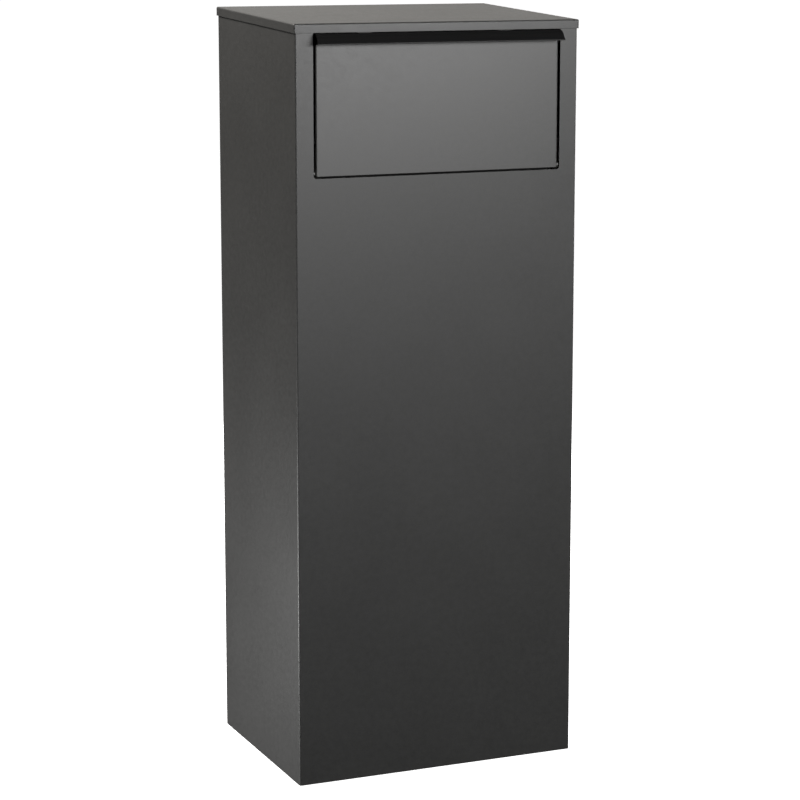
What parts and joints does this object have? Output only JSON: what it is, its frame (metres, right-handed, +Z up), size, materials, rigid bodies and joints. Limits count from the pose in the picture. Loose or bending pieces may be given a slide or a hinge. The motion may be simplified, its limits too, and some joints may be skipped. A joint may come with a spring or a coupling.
{
  "type": "parcel mailbox",
  "caption": "Free-standing steel column mailbox with a sloped lid, a tilting parcel flap and hopper under a black grip lip, and a lockable emptying door at the rear.",
  "frame": {"origin": "middle of the footprint, on the floor", "axes": "+X to the right seen from the front, +Y from the parcel flap to the rear door, +Z up"},
  "size_m": [0.4036, 0.3165, 1.0184],
  "materials": {
    "powder_coat": "satin anthracite-grey powder coat with a fine texture",
    "grip_black": "satin black coated profile",
    "zinc_steel": "bright zinc plate",
    "nickel": "polished nickel plate",
    "rubber_black": "matt black rubber",
    "nylon": "natural nylon"
  },
  "bodies": {
    "cabinet": {"body_wrap": "powder_coat", "lid_tray": "powder_coat", "base_pan": "powder_coat", "rear_sill": "powder_coat", "rear_header": "powder_coat", "baffle_plate": "powder_coat", "lid_clip_front_left": "zinc_steel", "lid_screw_front_left": "zinc_steel", "lid_clip_rear_left": "zinc_steel", "lid_screw_rear_left": "zinc_steel", "pivot_bracket_left": "zinc_steel", "flap_bush_left": "nylon", "flap_stop_left": "powder_coat", "flap_pad_left": "rubber_black", "tray_buffer_left": "rubber_black", "lid_clip_front_right": "zinc_steel", "lid_screw_front_right": "zinc_steel", "lid_clip_rear_right": "zinc_steel", "lid_screw_rear_right": "zinc_steel", "pivot_bracket_right": "zinc_steel", "flap_bush_right": "nylon", "flap_stop_right": "powder_coat", "flap_pad_right": "rubber_black", "tray_buffer_right": "rubber_black"},
    "parcel_flap": {"flap_panel": "powder_coat", "grip_profile": "grip_black", "grip_nut_1": "zinc_steel", "grip_nut_2": "zinc_steel", "grip_nut_3": "zinc_steel", "grip_nut_4": "zinc_steel", "hopper_tray": "powder_coat", "hopper_cheek_left": "powder_coat", "flap_pin_left": "powder_coat", "pin_retainer_left": "zinc_steel", "fold_rivet_left_1": "powder_coat", "fold_rivet_left_2": "powder_coat", "tray_rivet_left_1": "zinc_steel", "tray_rivet_left_2": "zinc_steel", "hopper_cheek_right": "powder_coat", "flap_pin_right": "powder_coat", "pin_retainer_right": "zinc_steel", "fold_rivet_right_1": "powder_coat", "fold_rivet_right_2": "powder_coat", "tray_rivet_right_1": "zinc_steel", "tray_rivet_right_2": "zinc_steel"},
    "rear_door": {"door_panel": "powder_coat", "door_stiffener": "powder_coat", "hinge_pin_top": "zinc_steel", "hinge_pin_bottom": "zinc_steel", "hinge_washer": "nylon", "lock_housing": "nickel", "lock_nut": "zinc_steel"},
    "lock_barrel": {"lock_plug": "nickel", "lock_cam": "zinc_steel", "cam_screw": "zinc_steel"}
  },
  "joints": [
    {"name": "flap_hinge", "type": "hinge", "parent": "cabinet", "child": "parcel_flap", "pos_m": [0, -0.1425, 0.8145], "axis": [1, 0, 0], "range_deg": [0, 50]},
    {"name": "door_hinge", "type": "hinge", "parent": "cabinet", "child": "rear_door", "pos_m": [-0.1675, 0.1405, 0.48], "axis": [0, 0, 1], "range_deg": [0, 100]},
    {"name": "lock_turn", "type": "hinge", "parent": "rear_door", "child": "lock_barrel", "pos_m": [0.15, 0.13, 0.48], "axis": [0, -1, 0], "range_deg": [0, 90]}
  ]
}
